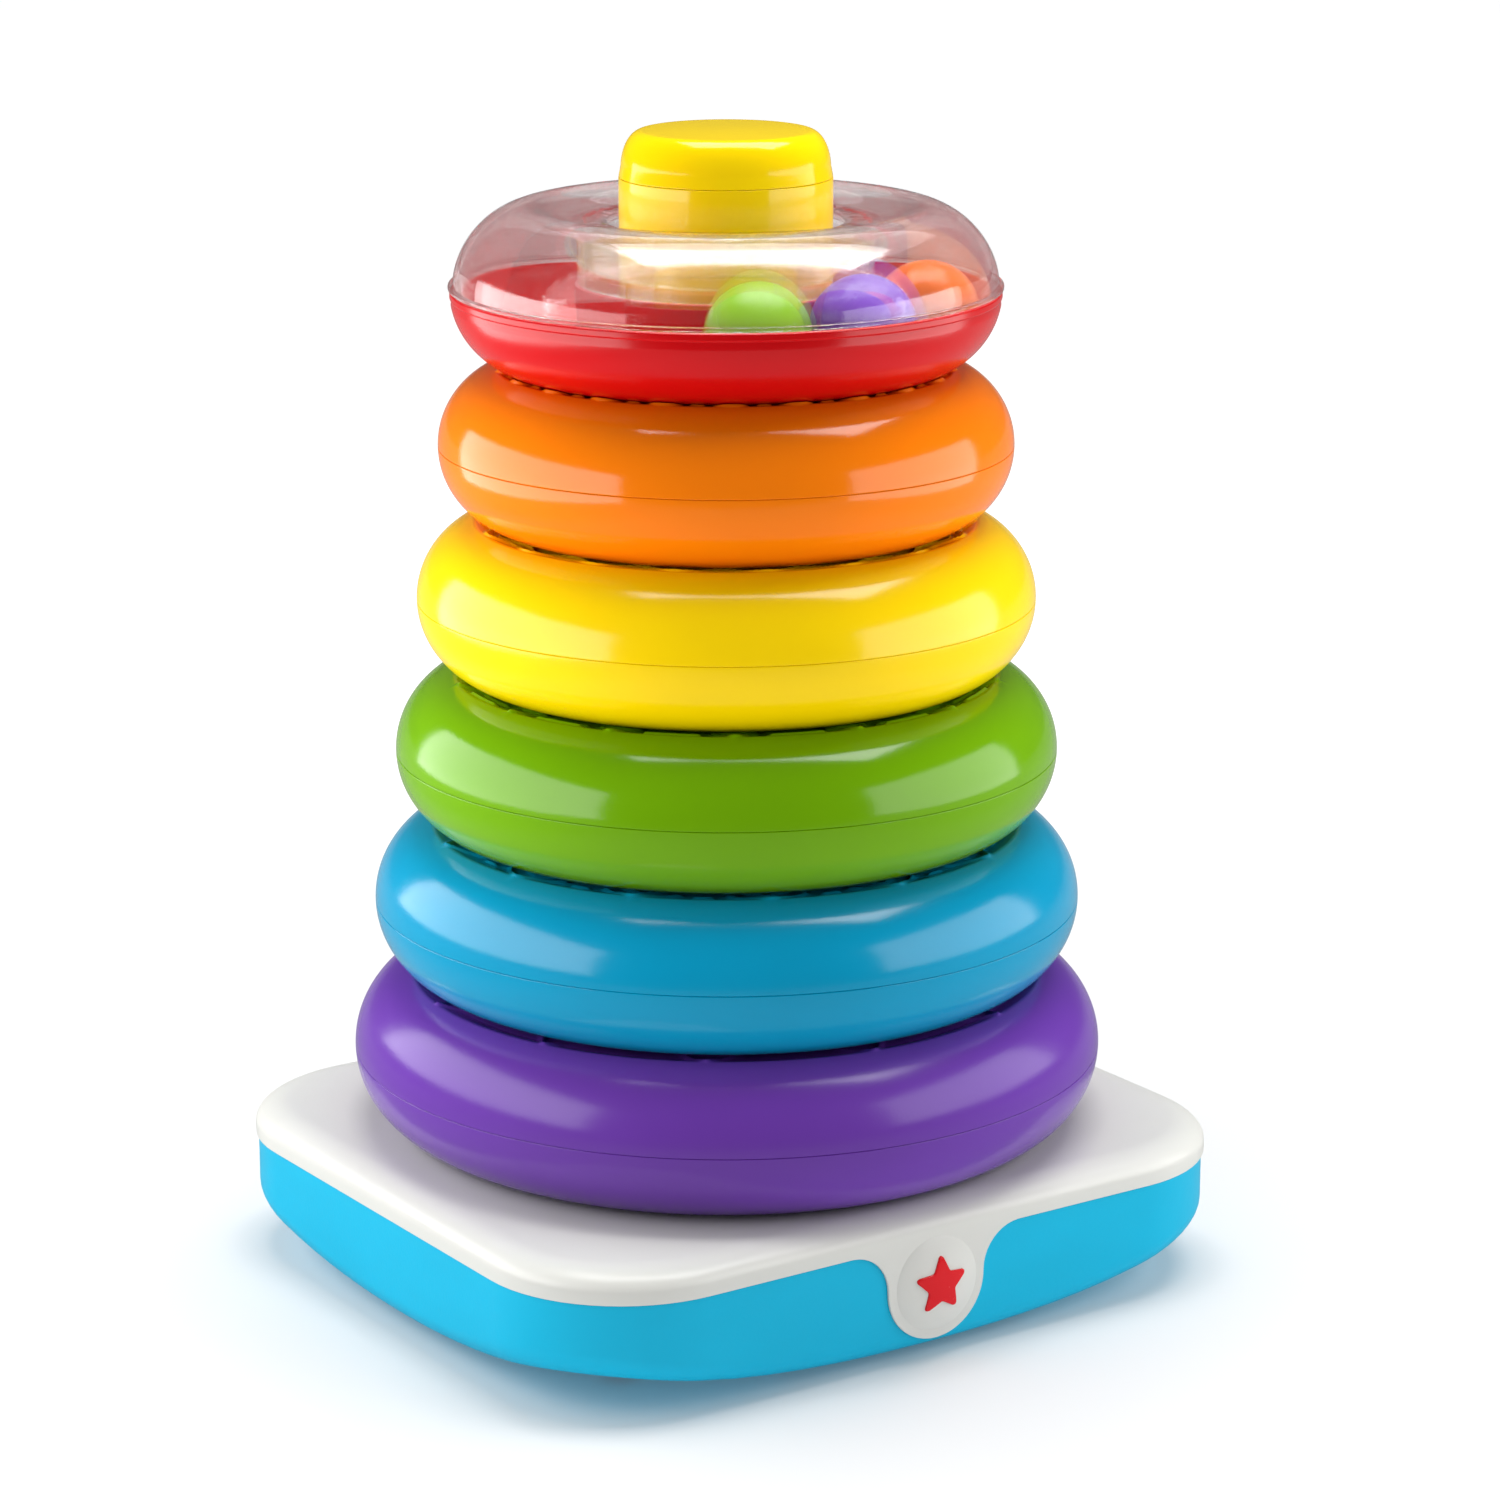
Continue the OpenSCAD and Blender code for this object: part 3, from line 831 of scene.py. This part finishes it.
def make_base_bottom():
    """The blue bottom shell: bowed underneath, rounded at its lower edge, with bosses inside."""
    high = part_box("base_bottom")[1]
    half_x, half_y = high.x / MM, high.y / MM

    def outline(inset):
        return rect_outline(half_x - inset, half_y - inset, CORNER_R - BLUE_INSET - inset)

    def flat_row(inset, z):
        return [(x, y, z) for x, y in outline(inset)]

    def outer_row(inset, up=0.0):
        """A row over the bottom, or part of the way up the side wall."""
        t = min(inset, BOTTOM_ROUND)
        lift = BOTTOM_ROUND - math.sqrt(max(BOTTOM_ROUND ** 2 - (BOTTOM_ROUND - t) ** 2, 0))
        row = []
        for x, y in outline(inset):
            z = bow_z(x, y) + lift
            row.append((x, y, z + (BASE_SPLIT_Z - z) * up))
        return row

    def middle_row(t, lift=0.0):
        return [(x * t, y * t, bow_z(x * t, y * t) + lift) for x, y in outline(46)]

    def inner_row(inset):
        lift = BASE_WALL + (6 if inset < 4 else 2 if inset < 6 else 0)
        return [(x, y, bow_z(x, y) + lift) for x, y in outline(inset)]

    rows = [flat_row(EDGE_ROUND, BASE_SPLIT_Z)]
    for a in (30, 60, 90):
        inset = EDGE_ROUND * (1 - math.sin(math.radians(a)))
        drop = EDGE_ROUND * (1 - math.cos(math.radians(a)))
        rows.append(flat_row(inset, BASE_SPLIT_Z - drop))
    rows += [outer_row(0.0, up * 0.97) for up in (0.9, 0.6, 0.3, 0.08, 0.0)]
    rows += [outer_row(BOTTOM_ROUND * (1 - math.cos(math.radians(a)))) for a in range(8, 91, 8)]
    rows += [outer_row(inset) for inset in (10, 13, 18, 25, 33, 41, 46)]
    rows += [middle_row(t) for t in (0.85, 0.7, 0.55, 0.4, 0.25, 0.1, 0.0)]
    rows += [middle_row(t, BASE_WALL) for t in (0.0, 0.25, 0.55, 0.85)]
    rows += [inner_row(inset) for inset in (46, 30, 18, 12, 8, 5, BASE_WALL)]
    rows.append(flat_row(BASE_WALL, BASE_SPLIT_Z))
    name = "base_bottom_shell"
    shell = finish_mesh(name, grid_mesh(name, np.array(rows) * MM, True, True))
    shell.modifiers.clear()
    for x, y in SCREW_PLACES:
        boolean(shell, rod(x, y, bow_z(x, y) + 1, SCREW_BOSS_Z, SCREW_BOSS_R), "UNION")
        boolean(shell, rod(x, y, -1, SCREW_HEAD_Z, SCREW_HEAD_R), "DIFFERENCE")
        boolean(shell, rod(x, y, 10, SCREW_BOSS_Z + 1, SCREW_SHANK_R), "DIFFERENCE")
    boolean(shell, rod(0, 0, BASE_WALL / 2, PEDESTAL_Z, PEDESTAL_R, 96), "UNION")
    resmooth(shell)
    dress(shell, "base", "cyan_plastic", "base_bottom")


def tab_outline():
    """The tab's outline in the XZ plane, from the left flare down, round and up."""
    left = arc(-TAB_R - TAB_FILLET, BASE_SPLIT_Z - TAB_FILLET, TAB_FILLET, 88, 0, 10)
    bottom = arc(0, TAB_Z, TAB_R, 180, 360, 32)
    right = [(-x, z) for x, z in reversed(left)]
    top = BASE_SPLIT_Z + 2.0
    return [(left[0][0], top)] + left + bottom + right + [(right[-1][0], top)]


def extrude_y(name, outline, y0, y1, bevel):
    """A plate with the outline in XZ between y0 (front) and y1, with a rounded front edge."""
    mesh = bpy.data.meshes.new(name)
    bm = bmesh.new()
    front = [bm.verts.new((x * MM, y0 * MM, z * MM)) for x, z in outline]
    back = [bm.verts.new((x * MM, y1 * MM, z * MM)) for x, z in outline]
    bm.faces.new(front)
    bm.faces.new(list(reversed(back)))
    count = len(outline)
    for i in range(count):
        j = (i + 1) % count
        bm.faces.new([front[i], back[i], back[j], front[j]])
    bmesh.ops.recalc_face_normals(bm, faces=bm.faces)
    if bevel > 0:
        edges = [e for e in bm.edges if all(v in front for v in e.verts)]
        bmesh.ops.bevel(bm, geom=edges, offset=bevel * MM, segments=3, profile=0.5, affect="EDGES")
    bm.to_mesh(mesh)
    bm.free()
    return link_piece(name, mesh)


def boss_height(r):
    """How far the boss stands out of the tab at a distance r from its centre."""
    ball_r = (BOSS_R ** 2 + BOSS_RISE ** 2) / (2 * BOSS_RISE)
    cap = math.sqrt(ball_r ** 2 - min(r, BOSS_R) ** 2) - (ball_r - BOSS_RISE)
    return cap - 0.3 * math.exp(-(((r - BOSS_R - 0.4) / 0.5) ** 2))


def boss_row(front_y, radii, angles, lift=0.0):
    """Points on the boss at those distances and angles from its centre, lifted off its face."""
    return [
        (r * math.cos(a), front_y - boss_height(r) - lift, TAB_Z + r * math.sin(a))
        for r, a in zip(radii, angles)
    ]


def circle_angles(count):
    return [2 * math.pi * i / count for i in range(count)]


def make_boss(front_y):
    """The round boss as a closed dish that reaches into the tab."""
    sides, rings = 96, 24
    angles = circle_angles(sides)
    rim_r = BOSS_R + 1.2
    back_y = front_y + 0.7
    rows = [boss_row(front_y, [rim_r * k / rings] * sides, angles) for k in range(rings)]
    rim = [(rim_r * math.cos(a), TAB_Z + rim_r * math.sin(a)) for a in angles]
    rows.append([(x, front_y + 0.02, z) for x, z in rim])
    rows.append([(x, back_y, z) for x, z in rim])
    rows.append([(0.0, back_y, TAB_Z)] * sides)
    piece = finish_mesh("boss", grid_mesh("boss", np.array(rows) * MM, False, True))
    piece.modifiers.clear()
    return piece


def make_base_top():
    """The white top shell with its rounded band, hole for the post, tab and boss."""
    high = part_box("base_top")[1]
    half_x, half_y, top_z = (value / MM for value in high)
    wall_top = BASE_SPLIT_Z + WALL_H
    hole = node_size("post_cap")[0] + 0.2
    inside = top_z - BASE_WALL
    middle = 30

    def band_row(inset, z):
        return [(x, y, z) for x, y in rect_outline(half_x - inset, half_y - inset, CORNER_R - inset)]

    def round_row(radius, z):
        return [(x, y, z) for x, y in circle_outline(radius, far)]

    far = rect_outline(half_x - middle, half_y - middle, CORNER_R - middle)
    near = circle_outline(hole + 2, far)
    rows = [band_row(1.2, BASE_SPLIT_Z), band_row(0.4, BASE_SPLIT_Z), band_row(0.1, BASE_SPLIT_Z + 0.12)]
    rows += [band_row(0.0, BASE_SPLIT_Z + 0.4), band_row(0.0, BASE_SPLIT_Z + 1.8)]
    rows.append(band_row(0.0, wall_top - 0.2))
    for k in range(1, 16):
        a = math.radians(90 * k / 16)
        rows.append(band_row(BAND_W * (1 - math.cos(a)), wall_top + (top_z - wall_top) * math.sin(a)))
    rows += [band_row(BAND_W, top_z), band_row(BAND_W + 1.0, top_z), band_row(middle, top_z)]
    for t in (0.35, 0.7, 1.0):
        rows.append([(x, y, top_z) for x, y in blend_outline(far, near, t)])
    for a in (0, 30, 60, 90):
        shrink = 0.8 * math.sin(math.radians(a))
        drop = 0.8 * (1 - math.cos(math.radians(a)))
        rows.append(round_row(hole + 0.8 - shrink, top_z - drop))
    rows += [round_row(hole, inside), round_row(hole + 3, inside)]
    rows += [band_row(middle, inside), band_row(BAND_W + 2, inside)]
    rows += [band_row(BASE_WALL, wall_top - 1), band_row(BASE_WALL, BASE_SPLIT_Z)]
    name = "base_top_shell"
    shell = finish_mesh(name, grid_mesh(name, np.array(rows) * MM, True, True))
    shell.modifiers.clear()
    front_y = -half_y
    boolean(shell, extrude_y("tab", tab_outline(), front_y, front_y + TAB_T, TAB_BEVEL), "UNION")
    boolean(shell, make_boss(front_y), "UNION")
    resmooth(shell, 40.0)
    dress(shell, "base", "white_plastic", "base_top")
    return front_y


def star_radius(angle, outer, inner):
    """Distance from a five-pointed star's centre to its straight edge, in that direction."""
    step = math.pi / 5
    a = (angle - math.pi / 2) % (2 * step)
    a = min(a, 2 * step - a)
    x1, y1 = outer, 0.0
    x2, y2 = inner * math.cos(step), inner * math.sin(step)
    nx, ny = y1 - y2, x2 - x1
    return (nx * x1 + ny * y1) / (nx * math.cos(a) + ny * math.sin(a))


def make_star(front_y):
    """A raised star with softened points that follows the boss."""
    angles = circle_angles(STAR_TURNS)
    edge = []
    for a in angles:
        spread = [
            star_radius(a + math.radians(d), STAR_OUTER_R, STAR_INNER_R) for d in (-6, -4, -2, 0, 2, 4, 6)
        ]
        edge.append(sum(spread) / len(spread))
    rows = [boss_row(front_y, [r * k / 12 for r in edge], angles, STAR_RISE) for k in range(13)]
    for grow, sink in ((0.12, 0.05), (0.25, 0.2), (0.3, 0.45), (0.3, 0.9)):
        rows.append(boss_row(front_y, [r + grow for r in edge], angles, STAR_RISE - sink))
    rows.append([(0.0, front_y - boss_height(0) + 0.3, TAB_Z)] * STAR_TURNS)
    name = "badge_star_piece"
    star = finish_mesh(name, grid_mesh(name, np.array(rows) * MM, False, True), 50.0)
    dress(star, "base", "badge_red", "badge_star")


make_base_bottom()
make_star(make_base_top())

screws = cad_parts["base_screws"]
screws.data.materials.clear()
screws.data.materials.append(MATERIALS["screw_steel"])


# ---------------------------------------------------------------- stage


# The floor reaches this far to the front, the sides and the back of the object, in metres
FLOOR_FRONT = 0.75
FLOOR_SIDE = 5.0
FLOOR_BACK = 9.0
FLOOR_Z = -0.0002


def from_camera(x, y, z):
    """A place given as camera's right, away from the camera and up, turned into the CAD frame."""
    cos_a, sin_a = math.cos(CAMERA_AZIMUTH), math.sin(CAMERA_AZIMUTH)
    return Vector((x * cos_a - y * sin_a, x * sin_a + y * cos_a, z))


def floor_material():
    """White studio sweep that glows more the further it is from the object."""
    material = bpy.data.materials.new("floor")
    material.use_nodes = True
    tree = material.node_tree
    shader = tree.nodes["Principled BSDF"]
    shader.inputs["Roughness"].default_value = 0.7
    path = tree.nodes.new("ShaderNodeLightPath")
    tree.links.new(
        mix_color(tree, path.outputs["Is Glossy Ray"], (0.66, 0.66, 0.66), (0.25, 0.25, 0.25)),
        shader.inputs["Base Color"],
    )
    shader.inputs["Specular IOR Level"].default_value = 0.2
    shader.inputs["Emission Color"].default_value = (1, 1, 1, 1)
    coords = tree.nodes.new("ShaderNodeTexCoord").outputs["Object"]
    length = tree.nodes.new("ShaderNodeVectorMath")
    length.operation = "LENGTH"
    tree.links.new(coords, length.inputs[0])
    glow = ramp(tree, length.outputs["Value"], 0.2, 0.9, 0.06, 0.85)
    dimmed = ramp(tree, path.outputs["Is Glossy Ray"], 0.0, 1.0, 1.0, 0.25)
    fill = math_node(tree, "MULTIPLY", path.outputs["Is Diffuse Ray"], 0.35)
    strength = math_node(tree, "ADD", math_node(tree, "MULTIPLY", glow, dimmed), fill)
    tree.links.new(strength, shader.inputs["Emission Strength"])
    return material


def make_floor():
    mesh = bpy.data.meshes.new("floor")
    corners = [(-FLOOR_SIDE, -FLOOR_FRONT), (FLOOR_SIDE, -FLOOR_FRONT)]
    corners += [(FLOOR_SIDE, FLOOR_BACK), (-FLOOR_SIDE, FLOOR_BACK)]
    mesh.from_pydata([from_camera(x, y, FLOOR_Z) for x, y in corners], [], [(0, 1, 2, 3)])
    floor = link_piece("floor", mesh)
    mesh.materials.append(floor_material())


def area_light(name, width, height, radiance):
    data = bpy.data.lights.new(name, "AREA")
    data.shape = "RECTANGLE"
    data.size = width
    data.size_y = height
    data.energy = 4 * radiance * width * height
    light = bpy.data.objects.new(name, data)
    bpy.context.scene.collection.objects.link(light)
    return light


def softbox(name, start, end, low, high, radiance):
    """An upright light panel between two places on the floor plan, facing the object."""
    start, end = from_camera(*start, 0), from_camera(*end, 0)
    middle = (start + end) / 2
    light = area_light(name, (end - start).length, high - low, radiance)
    across = (end - start).normalized()
    away = across.cross(Vector((0, 0, 1)))
    if away.dot(middle) < 0:
        away = -away
    light.location = middle + Vector((0, 0, (low + high) / 2))
    light.rotation_euler = away.to_track_quat("Z", "Y").to_euler()


def overhead(name, left, right, front, back, height, radiance):
    """A level light panel above the object, turned as the camera is."""
    light = area_light(name, right - left, back - front, radiance)
    light.location = from_camera((left + right) / 2, (front + back) / 2, height)
    light.rotation_euler = (0, 0, CAMERA_AZIMUTH)


def make_world():
    """White where it is seen, dark where it is only reflected, as past the edge of a studio sweep."""
    world = bpy.data.worlds.new("world")
    bpy.context.scene.world = world
    world.use_nodes = True
    tree = world.node_tree
    background = tree.nodes["Background"]
    background.inputs["Color"].default_value = (1, 1, 1, 1)
    path = tree.nodes.new("ShaderNodeLightPath")
    seen = math_node(tree, "MAXIMUM", path.outputs["Is Camera Ray"], path.outputs["Is Transmission Ray"])
    lit = math_node(tree, "MULTIPLY", path.outputs["Is Diffuse Ray"], 0.25)
    through = math_node(tree, "MINIMUM", path.outputs["Transmission Depth"], 0.5)
    shown = math_node(tree, "MAXIMUM", math_node(tree, "MAXIMUM", seen, through), lit)
    tree.links.new(math_node(tree, "MAXIMUM", shown, 0.08), background.inputs["Strength"])


make_camera()
make_floor()
make_world()
softbox("left_softbox", (-0.308, -0.394), (-0.433, 0.25), 0.13, 0.385, 3.2)
softbox("right_softbox", (0.381, -0.368), (0.504, 0.164), 0.13, 0.415, 2.3)
overhead("top_softbox", -0.4, 0.75, -0.2, 0.45, 1.3, 6.0)

scene = bpy.context.scene
scene.view_settings.view_transform = "Standard"
scene.view_settings.look = "None"
